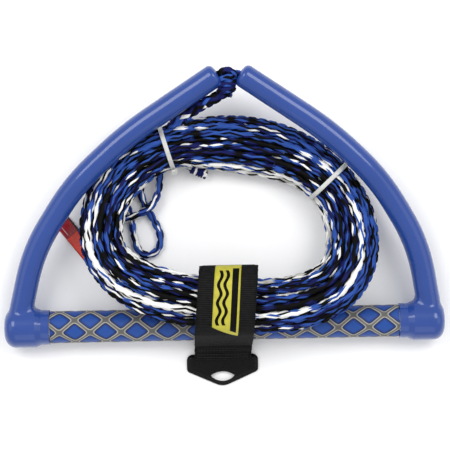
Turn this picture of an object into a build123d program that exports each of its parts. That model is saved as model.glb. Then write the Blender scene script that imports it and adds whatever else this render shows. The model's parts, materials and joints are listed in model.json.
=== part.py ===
from build123d import *
from math import atan2, cos, degrees, hypot, pi, radians, sin, tan
import os

# Tow rope handle, lying flat with its rope coiled and strapped to the hand grip.
# Frame: millimetres, X along the hand grip, Y from the grip to the yoke's apex, +Z up.
# Origin: the middle of the hand grip's axis.

# ---- driving dimensions -------------------------------------------------------------
FLOOR_Z = -17.3          # the level that the boots rest on
FLOOR_CLEAR = 1.5        # the coil rests on its ties, this much clear of the floor

GRIP_R = 13.6            # rubber sleeve over the tube
GRIP_HALF = 150.9        # half the sleeve's length
TUBE_R = 11.1            # aluminium tube, 7/8 inch
TUBE_WALL = 1.6
TUBE_HALF = 168.5
PLUG_LENGTH = 13.0
PLUG_INSET = 11.5        # from the tube's end to the plug's outer face
FIT_GAP = 0.05           # running clearance of the tube in the boots

ARM_R = 10.3             # moulded yoke arm
ARM_TIP_ROUND = 5.0      # rounding at an arm's open end
BOOT_R = 17.3            # moulded boot round the grip's end
BOOT_ROUND = 10.0
COLLAR_R = 15.0
COLLAR_X = 151.4         # the collar's mouth
COLLAR_END_X = 158.5
BOOT_X = 163.5
BOOT_END_X = 190.4
ELBOW_FILLET = 8.0       # where the arm grows out of the boot

ARM_RISE = 0.165         # how much the arms climb for each millimetre along Y
ARM_LEAN = 0.036         # the soft arms lean a little towards +X
ARM_POINTS = [(179.8, 0.0), (165.6, 67.0), (131.0, 122.5), (86.5, 163.8), (9.6, 214.3)]
ARM_RADII = [150.0, 190.0, 300.0]

YOKE_ROPE_R = 3.0
YOKE_CHANNEL_R = 3.7
YOKE_ELBOW_RADIUS = 16.5
YOKE_MOUTH_RADIUS = 18.0

ROPE_R = 3.175           # quarter inch tow rope
SPLICE_R = 4.6           # the eye splice, rope inside rope
COIL_CENTRE = (3.7, 76.4)
COIL_A = 109.0           # mean half length of the coil
COIL_TOP = 82.0          # mean reach of the coil towards the yoke
COIL_LOW = 58.0          # and towards the grip
COIL_TURN = -6.6         # degrees, the coil's long axis against X
COIL_POWER = 2.17        # 2 is an ellipse, more is squarer
COIL_LOW_POWER = 2.45    # the half towards the grip
COIL_HALF_WIDTH = 23.7
COIL_TURNS = 30          # 60 feet of rope at 0.59 m a turn, with the tails left over
COIL_FILL = 0.77         # share of the bundle's section that is rope
COIL_RAMP_Y = 112.0      # the coil leaves the floor here and climbs on to the grip
COIL_RAMP_END = 22.0
COIL_LIFT = 30.0
COIL_STATIONS = 36

LEFT_TIE_ANGLE = 130.0   # degrees round the coil
RIGHT_TIE_ANGLE = 34.0
STRAP_ANGLE = 268.0
LEFT_SIDE_ANGLE = 184.0
TOP_ANGLE = 84.0
LEFT_TIE_HALF_WIDTH = 18.6
LEFT_SIDE_HALF_WIDTH = 19.4
TOP_HALF_WIDTH = 27.5
RIGHT_TIE_HALF_WIDTH = 22.0
STRAP_HALF_WIDTH = 21.5
TIE_WIDTH = 3.8
TIE_THICK = 1.3

STRAP_X = 1.5            # middle of the strap across X
STRAP_WIDTH = 50.0
STRAP_THICK = 1.8
PATCH_THICK = 0.8
LABEL_THICK = 0.5
STRAP_CLEAR = 0.45       # strap to grip

TAB_X = -2.5
TAB_HALF_WIDTH = 31.2
TAB_TOP_Y = -27.5
TAB_SIDE_Y = -41.0
TAB_TIP_Y = -54.6
TAB_THICK = 4.0
TAB_HOLE_LENGTH = 21.2
TAB_HOLE_Y = -46.0
TAB_HINGE = (-18.6, -6.0)     # Y and Z of the line where the webbing folds

os.makedirs("parts", exist_ok=True)


def save(name, shape):
    shape.label = name
    export_step(shape, f"parts/{name}.step")
    return shape


def unit(angle):
    return (cos(radians(angle)), sin(radians(angle)))


# ---- routes -------------------------------------------------------------------------
def arc_radii(points):
    """Radius of each corner: 0.45 of the shorter run over the tangent of half the turn."""
    radii = []
    for before, here, after in zip(points, points[1:], points[2:]):
        run_in = Vector(*here) - Vector(*before)
        run_out = Vector(*after) - Vector(*here)
        turn = radians(run_in.get_angle(run_out))
        radii.append(0.45 * min(run_in.length, run_out.length) / tan(turn / 2))
    return radii


def tube(points, radii, radius):
    """A round tube along straight runs joined by tangent arcs."""
    path = FilletPolyline(*points, radius=radii)
    start = Plane(origin=path @ 0, z_dir=path % 0)
    body = sweep(start * Circle(radius), path=path)
    share = body.volume / (pi * radius**2 * path.length)
    return body, path, share


def cord(name, points, radius):
    radii = arc_radii(points)
    body, path, share = tube(points, radii, radius)
    print(f"{name}: length {path.length:.1f}, volume share {share:.4f}, radii",
          [round(r, 1) for r in radii])
    return body


# ---- the moulded arms with their boots ----------------------------------------------
def arm_points(side):
    """An arm's route from the grip's axis to its open end; side is -1 left, 1 right."""
    return [(side * x + ARM_LEAN * y, y, ARM_RISE * y) for x, y in ARM_POINTS]


def boot_profile(side):
    """Boot and collar, a revolved outline about the grip's axis."""
    with BuildPart() as boot:
        with BuildSketch(Plane.XY):
            with BuildLine():
                Polyline((COLLAR_X, 0), (COLLAR_X, COLLAR_R), (COLLAR_END_X, COLLAR_R),
                         (BOOT_X, BOOT_R), (BOOT_END_X - BOOT_ROUND, BOOT_R))
                JernArc((BOOT_END_X - BOOT_ROUND, BOOT_R), (1, 0), BOOT_ROUND, -90)
                Polyline((BOOT_END_X, BOOT_R - BOOT_ROUND), (BOOT_END_X, 0), (COLLAR_X, 0))
            make_face()
        revolve(axis=Axis.X)
    return boot.part if side > 0 else boot.part.mirror(Plane.YZ)


def arm_boot(side):
    points = arm_points(side)
    arm, path, _ = tube(points, ARM_RADII, ARM_R)
    tip = arm.faces().filter_by(GeomType.PLANE).sort_by_distance(path @ 1)[0]
    arm = fillet(tip.edges(), ARM_TIP_ROUND)
    body = boot_profile(side) + arm
    junction = [e for e in body.edges().filter_by(GeomType.BSPLINE) if e.length > 3]
    body = fillet(junction, ELBOW_FILLET)
    socket_length = TUBE_HALF + 0.6 - COLLAR_X + 5
    socket = Cylinder(TUBE_R + FIT_GAP, socket_length, rotation=(0, 90, 0))
    body -= Pos(side * (TUBE_HALF + 0.6 - socket_length / 2), 0, 0) * socket
    channel, _, _ = tube(yoke_route()[0], yoke_route()[1], YOKE_CHANNEL_R)
    outlet, _, _ = tube(bridge_route(), [YOKE_MOUTH_RADIUS] * 2, YOKE_CHANNEL_R)
    body = body - channel - outlet
    mouth = Plane(origin=path @ 1, z_dir=-(path % 1)) * Pos(0, 0, 2.5)
    body -= mouth * Cone(5.6, YOKE_CHANNEL_R - 0.3, 7)
    return body


def yoke_route():
    """The yoke rope's route inside both arms and the grip, and its corner radii."""
    left = arm_points(-1)
    right = arm_points(1)
    inner = [(x, y, z) for x, y, z in reversed(right)] + left
    first = Vector(*right[-1]) + (Vector(*right[-2]) - Vector(*right[-1])).normalized() * 9
    last = Vector(*left[-1]) + (Vector(*left[-2]) - Vector(*left[-1])).normalized() * 9
    inner[0] = tuple(first)
    inner[-1] = tuple(last)
    radii = list(reversed(ARM_RADII)) + [YOKE_ELBOW_RADIUS] * 2 + ARM_RADII
    return inner, radii


def bridge_route():
    """The yoke rope's short visible span between the two open ends."""
    right = arm_points(1)
    left = arm_points(-1)
    inner, _ = yoke_route()
    return [inner[-1], left[-1], right[-1], inner[0]]


# ---- the coil ------------------------------------------------------------------------
def coil_point(angle):
    """Middle of the rope bundle in a direction from the coil's centre, and its normal."""
    turn = radians(COIL_TURN)
    along, across = unit(angle)
    reach = COIL_TOP if across > 0 else COIL_LOW
    power = COIL_POWER if across > 0 else COIL_LOW_POWER
    size = abs(along / COIL_A)**power + abs(across / reach)**power
    radius = size**(-1 / power)
    u, v = radius * along, radius * across
    nu = abs(u / COIL_A)**(power - 1) / COIL_A * (1 if u > 0 else -1)
    nv = abs(v / reach)**(power - 1) / reach * (1 if v > 0 else -1)
    length = hypot(nu, nv)
    x = COIL_CENTRE[0] + u * cos(turn) - v * sin(turn)
    y = COIL_CENTRE[1] + u * sin(turn) + v * cos(turn)
    nx = (nu * cos(turn) - nv * sin(turn)) / length
    ny = (nu * sin(turn) + nv * cos(turn)) / length
    ramp = min(max((COIL_RAMP_Y - y) / (COIL_RAMP_Y - COIL_RAMP_END), 0.0), 1.0)
    low = FLOOR_Z + coil_half_size(angle)[1] + FLOOR_CLEAR
    z = low + COIL_LIFT * ramp * ramp * (3 - 2 * ramp)
    return Vector(x, y, z), Vector(nx, ny, 0)


def pinch(angle, at, reach):
    """1 where the bundle's width is set, fading to 0 within reach degrees of it."""
    gap = (angle - at + 180) % 360 - 180
    return max(0.0, 1 - (gap / reach) ** 2) ** 2


def coil_half_size(angle):
    """Half width and half height of the bundle, whose section keeps its area all round."""
    half_width = COIL_HALF_WIDTH
    for at, narrow, reach in ((LEFT_TIE_ANGLE, LEFT_TIE_HALF_WIDTH, 26),
                              (LEFT_SIDE_ANGLE, LEFT_SIDE_HALF_WIDTH, 46),
                              (TOP_ANGLE, TOP_HALF_WIDTH, 44),
                              (RIGHT_TIE_ANGLE, RIGHT_TIE_HALF_WIDTH, 26),
                              (STRAP_ANGLE, STRAP_HALF_WIDTH, 26)):
        half_width += pinch(angle, at, reach) * (narrow - COIL_HALF_WIDTH)
    area = COIL_TURNS * pi * ROPE_R**2 / COIL_FILL
    return half_width, area / (pi * half_width)


def coil_plane(angle):
    middle, outward = coil_point(angle)
    along = outward.cross(Vector(0, 0, 1))
    return Plane(origin=middle, x_dir=outward, z_dir=along)


def coil_section(angle, grow=0.0):
    half_width, half_height = coil_half_size(angle)
    return coil_plane(angle) * Ellipse(half_width + grow, half_height + grow)


def rope_coil():
    half = COIL_STATIONS // 2
    step = 360 / COIL_STATIONS
    first = loft([coil_section(i * step) for i in range(half + 1)])
    second = loft([coil_section((i + half) * step) for i in range(half + 1)])
    return first + second


def cable_tie(angle, head_side):
    """One-piece cable tie drawn up round the bundle; head_side 1 outside, -1 inside."""
    half_width, half_height = coil_half_size(angle)
    plane = coil_plane(angle)
    ring = Ellipse(half_width + TIE_THICK, half_height + TIE_THICK)
    ring -= Ellipse(half_width + 0.02, half_height + 0.02)
    band = plane * extrude(ring, TIE_WIDTH / 2, both=True)
    head_u = head_side * (half_width + TIE_THICK + 1.9)
    head = plane * (Pos(head_u, -2.0, 0) * fillet(Box(4.6, 6.4, 6.2).edges(), 1.0))
    tail = plane * (Pos(head_u + head_side * 0.6, 3.4, 0) * Box(1.2, 6.0, TIE_WIDTH - 0.6))
    return band + head + tail


# ---- the strap -----------------------------------------------------------------------
BUNDLE_YZ = coil_point(STRAP_ANGLE)[0]
WRAP_R = 18.9            # rounding of the strap over the bundle's two shoulders
FLAP_BACK_Z = 22.0       # the flap's free end, down the coil's inner side
WRAP_IN = (BUNDLE_YZ.Y + STRAP_HALF_WIDTH - WRAP_R + 7.0, BUNDLE_YZ.Z)
WRAP_OUT = (BUNDLE_YZ.Y - STRAP_HALF_WIDTH + WRAP_R - 2.0, BUNDLE_YZ.Z)


def wrap_face(grow):
    """The strap's profile in the YZ plane: the hull of the bundle and the grip."""
    discs = [Pos(*WRAP_IN) * Circle(WRAP_R + grow), Pos(*WRAP_OUT) * Circle(WRAP_R + grow),
             Circle(GRIP_R + 0.4 + STRAP_CLEAR + grow)]
    arcs = [edge for disc in discs for edge in disc.edges()]
    return make_hull(arcs)


def wrap_band(inner, outer, x_mid=STRAP_X, width=STRAP_WIDTH):
    """A band round the profile, between two offsets, width wide along X."""
    ring = wrap_face(outer) - wrap_face(inner)
    return extrude(Plane.YZ.offset(x_mid) * ring, width / 2, both=True)


def front_box(y_low, y_high, z_low, width=120.0):
    """The part of the strap's profile that the closure flap covers."""
    return Pos(STRAP_X, (y_low + y_high) / 2, z_low + 60) * Box(width, y_high - y_low, 120)


def strap_parts():
    loop = wrap_band(0.0, STRAP_THICK)
    patch_at = STRAP_THICK
    flap_at = patch_at + PATCH_THICK
    label_at = flap_at + STRAP_THICK
    cover = front_box(-60, 0, -4.0) + front_box(0, 60, FLAP_BACK_Z)
    patch_box = front_box(-60, WRAP_IN[0] - 4, 2.0)
    patch = wrap_band(patch_at, flap_at) & patch_box
    flap = (wrap_band(patch_at, label_at) & cover) - (wrap_band(0, flap_at) & patch_box)
    label_plan = Polygon((-10.0, -4.0), (10.4, -9.6), (15.6, 49.0), (-5.6, 49.0), align=None)
    slab = extrude(label_plan, 80)
    label = wrap_band(label_at, label_at + LABEL_THICK) & cover & slab
    return loop, patch, flap, label


def strap_tail():
    """Webbing from the fold line down to the floor and out over the tab's top."""
    fold_y, fold_z = TAB_HINGE
    lie_z = FLOOR_Z + TAB_THICK + STRAP_THICK / 2
    with BuildPart() as tail:
        with BuildSketch(Plane.YZ.offset(TAB_X)):
            with BuildLine():
                spine = FilletPolyline((fold_y, fold_z), (TAB_TOP_Y + 2.5, lie_z),
                                       (TAB_TOP_Y - 4.4, lie_z), radius=4)
            trace(spine, line_width=STRAP_THICK)
        extrude(amount=STRAP_WIDTH / 2, both=True)
    return tail.part


def hang_tab():
    """Moulded tab with an eye-shaped hanging hole and a raised lower rim."""
    with BuildPart() as tab:
        with BuildSketch(Plane.XY.offset(FLOOR_Z)) as plan:
            with BuildLine():
                Polyline((TAB_X - TAB_HALF_WIDTH, TAB_TOP_Y), (TAB_X + TAB_HALF_WIDTH, TAB_TOP_Y),
                         (TAB_X + TAB_HALF_WIDTH, TAB_SIDE_Y), (TAB_X, TAB_TIP_Y),
                         (TAB_X - TAB_HALF_WIDTH, TAB_SIDE_Y), close=True)
            make_face()
            fillet(plan.vertices().group_by(Axis.Y)[-1], 5.0)
            fillet(plan.vertices().group_by(Axis.Y)[0], 9.0)
        extrude(amount=TAB_THICK)
        fillet(tab.faces().sort_by(Axis.Z)[-1].edges(), 0.9)
        half = TAB_HOLE_LENGTH / 2
        with BuildSketch(Plane.XY.offset(FLOOR_Z)):
            with BuildLine():
                ThreePointArc((TAB_X - half, TAB_HOLE_Y), (TAB_X, TAB_HOLE_Y + 3.6),
                              (TAB_X + half, TAB_HOLE_Y))
                ThreePointArc((TAB_X + half, TAB_HOLE_Y), (TAB_X, TAB_HOLE_Y - 4.9),
                              (TAB_X - half, TAB_HOLE_Y))
            make_face()
        extrude(amount=TAB_THICK, mode=Mode.SUBTRACT)
    return tab.part


# ---- build ---------------------------------------------------------------------------
def grip_parts():
    lie = {"rotation": (0, 90, 0)}
    tube_in = TUBE_R - TUBE_WALL
    bar = Cylinder(TUBE_R, 2 * TUBE_HALF, **lie) - Cylinder(tube_in, 2 * TUBE_HALF + 2, **lie)
    sleeve = Cylinder(GRIP_R, 2 * GRIP_HALF, **lie) - Cylinder(TUBE_R, 2 * GRIP_HALF + 2, **lie)
    plug = Cylinder(tube_in, PLUG_LENGTH, **lie) - Cylinder(4.0, PLUG_LENGTH + 2, **lie)
    plug_x = TUBE_HALF - PLUG_INSET - PLUG_LENGTH / 2
    core_half = plug_x - PLUG_LENGTH / 2
    core = Cylinder(tube_in, 2 * core_half, **lie) - Cylinder(4.5, 2 * core_half + 2, **lie)
    save("grip_tube", bar)
    save("grip_sleeve", sleeve)
    save("left_tube_plug", Pos(-plug_x, 0, 0) * plug)
    save("right_tube_plug", Pos(plug_x, 0, 0) * plug)
    save("tube_foam_core", core)


def yoke_parts():
    save("left_arm_boot", arm_boot(-1))
    save("right_arm_boot", arm_boot(1))
    points, radii = yoke_route()
    save("yoke_rope", tube(points, radii, YOKE_ROPE_R)[0])
    save("yoke_bridge", tube(bridge_route(), [YOKE_MOUTH_RADIUS] * 2, YOKE_ROPE_R)[0])


APEX = (Vector(*arm_points(-1)[-1]) + Vector(*arm_points(1)[-1])) * 0.5
HITCH_SIZE = (11.0, 21.0, 13.0)
HITCH_AT = (APEX.X - 0.4, APEX.Y - 6.8, APEX.Z)

LEAD_POINTS = [(3.5, 198.6, 33.5), (-4.0, 193.8, 32.0), (-14.5, 189.2, 28.0),
               (-25.0, 183.2, 22.5), (-35.0, 177.0, 17.0), (-43.5, 170.5, 13.2)]
TAIL_POINTS = [(-55.0, 141.0, -3.5), (-54.0, 131.0, -7.5), (-54.5, 120.5, -8.6),
               (-57.5, 109.5, -8.0), (-64.5, 100.5, -7.2), (-75.0, 95.6, -7.2),
               (-86.0, 92.2, -9.0), (-96.5, 91.0, -11.6), (-104.0, 96.5, -13.6),
               (-104.5, 106.0, -13.8), (-96.5, 111.5, -13.8), (-87.0, 108.5, -13.8),
               (-81.0, 99.5, -13.8), (-79.0, 88.5, -13.8), (-77.6, 77.5, -13.8),
               (-75.5, 66.5, -13.8), (-68.0, 59.6, -13.8), (-59.0, 62.6, -13.8),
               (-54.0, 70.5, -13.8), (-55.0, 80.5, -13.8), (-60.0, 91.0, -13.8),
               (-66.0, 101.5, -13.8), (-71.0, 112.5, -14.0), (-71.5, 124.5, -13.6),
               (-65.0, 136.0, -12.4), (-53.0, 142.6, -11.0), (-38.6, 142.4, -10.2),
               (-26.0, 137.0, -10.0)]


def rope_parts():
    hitch = Box(*HITCH_SIZE)
    hitch = fillet(hitch.edges(), 4.0)
    hitch -= Cylinder(YOKE_ROPE_R, 40, rotation=(0, 90, 0)).moved(
        Location((0, APEX.Y - HITCH_AT[1], 0)))
    save("tow_eye_hitch", Pos(*HITCH_AT) * hitch)
    save("tow_splice", cord("tow_splice", LEAD_POINTS, SPLICE_R))
    save("rope_coil", rope_coil())
    save("boat_end_tail", cord("boat_end_tail", TAIL_POINTS, ROPE_R))
    end = Vector(*TAIL_POINTS[-1])
    before = Vector(*TAIL_POINTS[-2])
    along = (end - before).normalized()
    whipping = Plane(origin=end, z_dir=along) * Pos(0, 0, 7.0) * Cylinder(3.9, 14.0)
    save("rope_end_whipping", fillet(whipping.edges(), 1.2))
    save("left_cable_tie", cable_tie(LEFT_TIE_ANGLE, -1))
    save("right_cable_tie", cable_tie(RIGHT_TIE_ANGLE, 1))


def storage_parts():
    loop, patch, flap, label = strap_parts()
    save("strap_loop", loop)
    save("strap_hook_patch", patch)
    save("strap_flap", flap)
    save("strap_label", label)
    save("strap_tail", strap_tail())
    save("hang_tab", hang_tab())


TAG_START = (-141.0, 92.0)
TAG_END = (-113.0, 56.5)
TAG_WIDTH = 14.0
TAG_THICK = 0.7
TAG_LIFT = 0.3           # clear of the floor, so the tag is not what the handle rests on


def tag_parts():
    """Vinyl tag lying between the left arm and the coil, with a printed panel on it."""
    run = Vector(TAG_END[0] - TAG_START[0], TAG_END[1] - TAG_START[1], 0)
    middle = ((TAG_START[0] + TAG_END[0]) / 2, (TAG_START[1] + TAG_END[1]) / 2)
    angle = degrees(atan2(run.Y, run.X))
    place = Pos(middle[0], middle[1], FLOOR_Z + TAG_LIFT + TAG_THICK / 2) * Rot(0, 0, angle)
    strip = Box(run.length, TAG_WIDTH, TAG_THICK)
    strip = fillet(strip.edges().filter_by(Axis.Z), 2.0)
    panel = Pos(4.0, 0, (TAG_THICK + 0.3) / 2) * Box(run.length * 0.5, TAG_WIDTH - 4, 0.3)
    save("tag_strip", place * strip)
    save("tag_panel", place * panel)


grip_parts()
yoke_parts()
rope_parts()
storage_parts()
tag_parts()
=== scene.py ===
"""Tow rope handle lying flat, its braided rope coiled, tied and strapped to the grip.

Units are metres. The frame is the CAD's: X along the grip, Y from the grip to the yoke's
apex, Z up, with the origin in the middle of the grip's axis.
"""

import math
import random

import bmesh
import bpy
import numpy as np
from mathutils import Matrix, Vector
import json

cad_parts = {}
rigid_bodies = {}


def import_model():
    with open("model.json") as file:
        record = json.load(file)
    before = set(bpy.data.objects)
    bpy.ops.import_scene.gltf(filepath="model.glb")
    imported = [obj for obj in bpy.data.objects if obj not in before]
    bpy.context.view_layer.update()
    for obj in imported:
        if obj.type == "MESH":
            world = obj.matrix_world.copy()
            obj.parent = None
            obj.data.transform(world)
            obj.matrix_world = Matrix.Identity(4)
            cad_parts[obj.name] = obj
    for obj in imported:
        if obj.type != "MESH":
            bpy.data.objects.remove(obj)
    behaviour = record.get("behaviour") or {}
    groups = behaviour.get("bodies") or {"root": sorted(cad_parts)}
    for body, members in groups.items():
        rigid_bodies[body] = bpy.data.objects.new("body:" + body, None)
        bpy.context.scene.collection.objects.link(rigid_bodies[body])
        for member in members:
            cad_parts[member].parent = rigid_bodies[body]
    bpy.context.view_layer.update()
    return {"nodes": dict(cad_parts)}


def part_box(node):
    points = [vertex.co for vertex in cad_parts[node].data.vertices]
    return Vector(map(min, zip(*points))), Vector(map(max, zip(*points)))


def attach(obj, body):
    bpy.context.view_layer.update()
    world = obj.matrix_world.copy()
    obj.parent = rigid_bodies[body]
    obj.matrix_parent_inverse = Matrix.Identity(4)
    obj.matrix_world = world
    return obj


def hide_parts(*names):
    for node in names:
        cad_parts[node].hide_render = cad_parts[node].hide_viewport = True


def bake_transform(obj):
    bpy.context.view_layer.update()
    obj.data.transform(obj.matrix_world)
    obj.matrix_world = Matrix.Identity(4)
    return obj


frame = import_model()
MM = 0.001
FLOOR_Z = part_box("left_arm_boot")[0].z

# ---- camera ----------------------------------------------
camera_data = bpy.data.cameras.new("camera")
camera_data.lens = 138.2
camera = bpy.data.objects.new("camera", camera_data)
camera.location = (0.0021, 0.0858, 1.5)
camera.rotation_euler = (0, 0, math.radians(-1.13))
bpy.context.collection.objects.link(camera)
bpy.context.scene.camera = camera


# ---- mesh helpers ----------------------------------------
def make_piece(name, verts, faces, materials, smooth=True, indices=None):
    """A mesh object from vertices and faces, with a material index for each face."""
    mesh = bpy.data.meshes.new(name)
    mesh.from_pydata([tuple(v) for v in verts], [], [tuple(f) for f in faces])
    for material in materials:
        mesh.materials.append(material)
    if indices is not None:
        mesh.polygons.foreach_set("material_index", np.asarray(indices, dtype=np.int32))
    mesh.polygons.foreach_set("use_smooth", np.full(len(mesh.polygons), smooth))
    mesh.update()
    piece = bpy.data.objects.new(name, mesh)
    bpy.context.collection.objects.link(piece)
    return piece


def edit(piece, change=None):
    """Runs change(bm), if given, on a piece's mesh and turns its faces outwards."""
    bm = bmesh.new()
    bm.from_mesh(piece.data)
    if change:
        change(bm)
    bmesh.ops.recalc_face_normals(bm, faces=bm.faces)
    bm.to_mesh(piece.data)
    bm.free()


def nurbs_points(name, points, resolution=6):
    """Points along the smooth NURBS line that has the given control points."""
    curve = bpy.data.curves.new(name, "CURVE")
    curve.dimensions = "3D"
    spline = curve.splines.new("NURBS")
    spline.points.add(len(points) - 1)
    for place, point in zip(spline.points, points):
        place.co = (*point, 1)
    spline.order_u = 3
    spline.use_endpoint_u = True
    spline.resolution_u = resolution
    line = bpy.data.objects.new(name, curve)
    bpy.context.collection.objects.link(line)
    bpy.context.view_layer.update()
    mesh = bpy.data.meshes.new_from_object(line)
    co = np.array([v.co[:] for v in mesh.vertices])
    bpy.data.objects.remove(line)
    bpy.data.meshes.remove(mesh)
    return co


def arc_length(path):
    """Length from a path's start to each of its points."""
    return np.concatenate([[0], np.cumsum(np.linalg.norm(np.diff(path, axis=0), axis=1))])


def normals_of(line, closed=False):
    """Unit normals of a flat line, on its outer side when it runs counter-clockwise."""
    tangent = np.roll(line, -1, 0) - np.roll(line, 1, 0) if closed else np.gradient(line, axis=0)
    normal = np.stack([tangent[:, 1], -tangent[:, 0]], axis=1)
    return normal / np.linalg.norm(normal, axis=1)[:, None]


def frames_along(path, s_values):
    """Positions and two cross directions at given lengths along a path, free of twist."""
    s = arc_length(path)
    at = np.stack([np.interp(s_values, s, path[:, i]) for i in range(3)], axis=1)
    tangent = np.gradient(at, axis=0)
    tangent /= np.linalg.norm(tangent, axis=1)[:, None]
    up = np.zeros_like(at)
    across = np.cross(tangent[0], (0.0, 0.0, 1.0))
    if np.linalg.norm(across) < 0.2:
        across = np.cross(tangent[0], (1.0, 0.0, 0.0))
    normal = np.cross(across, tangent[0])
    for i, direction in enumerate(tangent):
        normal = normal - direction * normal.dot(direction)
        normal /= np.linalg.norm(normal)
        up[i] = normal
    return at, up, np.cross(tangent, up)


TIP_SHARE = 0.25             # a tapered end draws in to this share of the radius


def braid(name, path, radius, pitch, strands, tones, materials, sub=2, low=0.80, high=1.07,
          end_taper=0.0):
    """A braided cord: strands each way round, over two and under two.

    tones(strand, s) gives the material index of a strand at a length s. The surface lies
    between low and high times the radius, and the cord draws in over end_taper at its end.
    """
    total = arc_length(path)[-1]
    step = pitch / strands / 2 / sub
    rows = max(2, int(round(total / step)))
    s_values = np.linspace(0, total, rows + 1)
    at, up, side = frames_along(path, s_values)
    around = 2 * strands * sub
    verts = []
    index = {}
    size = np.ones(rows + 1)
    for i, s in enumerate(s_values):
        if end_taper and total - s < end_taper:
            drawn_in = math.sqrt(1 - (1 - (total - s) / end_taper) ** 2)
            size[i] = TIP_SHARE + (1 - TIP_SHARE) * drawn_in
    for b in range(rows + 1):
        for a in range(b % 2, around, 2):
            m, n = (a + b) // 2, (a - b) // 2
            height = braid_height(m, n, sub)
            angle = math.pi * 2 * a / around
            r = radius * size[b] * (low + (high - low) * height)
            index[(a, b)] = len(verts)
            verts.append(at[b] + r * (math.cos(angle) * up[b] + math.sin(angle) * side[b]))
    faces = []
    indices = []
    for b in range(1, rows):
        for a in range((b + 1) % 2, around, 2):
            # the face whose middle row is b: its low corner is one row back
            corners = [(a, b - 1), ((a + 1) % around, b), (a, b + 1), ((a - 1) % around, b)]
            faces.append([index[c] for c in corners])
            m, n = (a + b - 1) // 2, (a - b + 1) // 2
            p, q = m // sub, (n - 1) // sub
            over = (p - q) % 4 < 2
            strand = p % strands if over else strands + q % strands
            indices.append(tones(strand, s_values[b]))
    piece = make_piece(name, verts, faces, materials, indices=indices)

    def close_ends(bm):
        open_edges = [e for e in bm.edges if e.is_boundary]
        bmesh.ops.holes_fill(bm, edges=open_edges, sides=0)

    edit(piece, close_ends)
    return piece


def braid_height(m, n, sub):
    """0 in the grooves and 1 on a strand's crown, at a corner of the braid's lattice."""
    best = 0.0
    for p, q in {(m // sub, n // sub), ((m - 1) // sub, n // sub),
                 (m // sub, (n - 1) // sub), ((m - 1) // sub, (n - 1) // sub)}:
        fp, fq = m / sub - p, n / sub - q
        if (p - q) % 4 < 2:
            across = fp
            along = fq + ((p - q) % 4 == 0)
        else:
            across = fq
            along = fp + ((p - q) % 4 == 3)
        crown = math.sqrt(max(0.0, 1 - (2 * across - 1) ** 2))
        best = max(best, crown * (1 - (along - 1) ** 4))
    return best


# ---- materials -------------------------------------------
def new_material(name, color, roughness, **sockets):
    """A Principled material; returns it with its node tree and shader."""
    material = bpy.data.materials.new(name)
    material.use_nodes = True
    tree = material.node_tree
    shader = tree.nodes["Principled BSDF"]
    shader.inputs["Base Color"].default_value = (*color, 1)
    shader.inputs["Roughness"].default_value = roughness
    for socket, value in sockets.items():
        shader.inputs[socket.replace("_", " ")].default_value = value
    return material, tree, shader


def noise(tree, scale, detail=3.0, distortion=0.0):
    """A noise pattern's value, in the object's own coordinates."""
    coords = tree.nodes.new("ShaderNodeTexCoord")
    node = tree.nodes.new("ShaderNodeTexNoise")
    node.inputs["Scale"].default_value = scale
    node.inputs["Detail"].default_value = detail
    node.inputs["Distortion"].default_value = distortion
    tree.links.new(coords.outputs["Object"], node.inputs["Vector"])
    return node.outputs["Fac"]


def math_node(tree, operation, *terms):
    """The result of a maths node whose terms are sockets or numbers."""
    node = tree.nodes.new("ShaderNodeMath")
    node.operation = operation
    for place, term in zip(node.inputs, terms):
        if isinstance(term, float):
            place.default_value = term
        else:
            tree.links.new(term, place)
    return node.outputs[0]


def ramp(tree, value, stops):
    """A colour ramp; stops are (position, colour) pairs."""
    node = tree.nodes.new("ShaderNodeValToRGB")
    while len(node.color_ramp.elements) < len(stops):
        node.color_ramp.elements.new(0.5)
    for element, (position, color) in zip(node.color_ramp.elements, stops):
        element.position = position
        element.color = (*color, 1)
    tree.links.new(value, node.inputs["Fac"])
    return node.outputs["Color"]


def tint(color, factor):
    return tuple(min(1.0, c * factor) for c in color)


def add_bump(tree, shader, height, strength, distance):
    node = tree.nodes.new("ShaderNodeBump")
    node.inputs["Strength"].default_value = strength
    node.inputs["Distance"].default_value = distance
    tree.links.new(height, node.inputs["Height"])
    tree.links.new(node.outputs["Normal"], shader.inputs["Normal"])


def mottled(name, color, roughness, spread=0.15, scale=60.0, grain=900.0, depth=0.00005,
            **sockets):
    """A material with soft colour variation, uneven roughness and a fine grain."""
    material, tree, shader = new_material(name, color, roughness, **sockets)
    patches = noise(tree, scale)
    shade = ramp(tree, patches, [(0.3, tint(color, 1 - spread)), (0.7, tint(color, 1 + spread))])
    tree.links.new(shade, shader.inputs["Base Color"])
    wear = ramp(tree, noise(tree, scale * 3.1),
                [(0.3, (max(roughness - 0.06, 0),) * 3), (0.75, (roughness + 0.08,) * 3)])
    tree.links.new(wear, shader.inputs["Roughness"])
    add_bump(tree, shader, noise(tree, grain, 4.0), 0.5, depth)
    return material


def yarn(name, color, spread=0.22):
    """Bright split-film yarn: fine fibres that run along the strand."""
    material, tree, shader = new_material(name, color, 0.55, Specular_IOR_Level=0.08)
    fibres = noise(tree, 1500.0, distortion=1.5)
    patches = math_node(tree, "MULTIPLY", noise(tree, 160.0, 2.0), 0.5)
    mix = math_node(tree, "MULTIPLY_ADD", fibres, 0.5, patches)
    shade = ramp(tree, mix, [(0.35, tint(color, 1 - spread)), (0.65, tint(color, 1 + spread))])
    tree.links.new(shade, shader.inputs["Base Color"])
    add_bump(tree, shader, fibres, 0.6, 0.00012)
    return material


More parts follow.
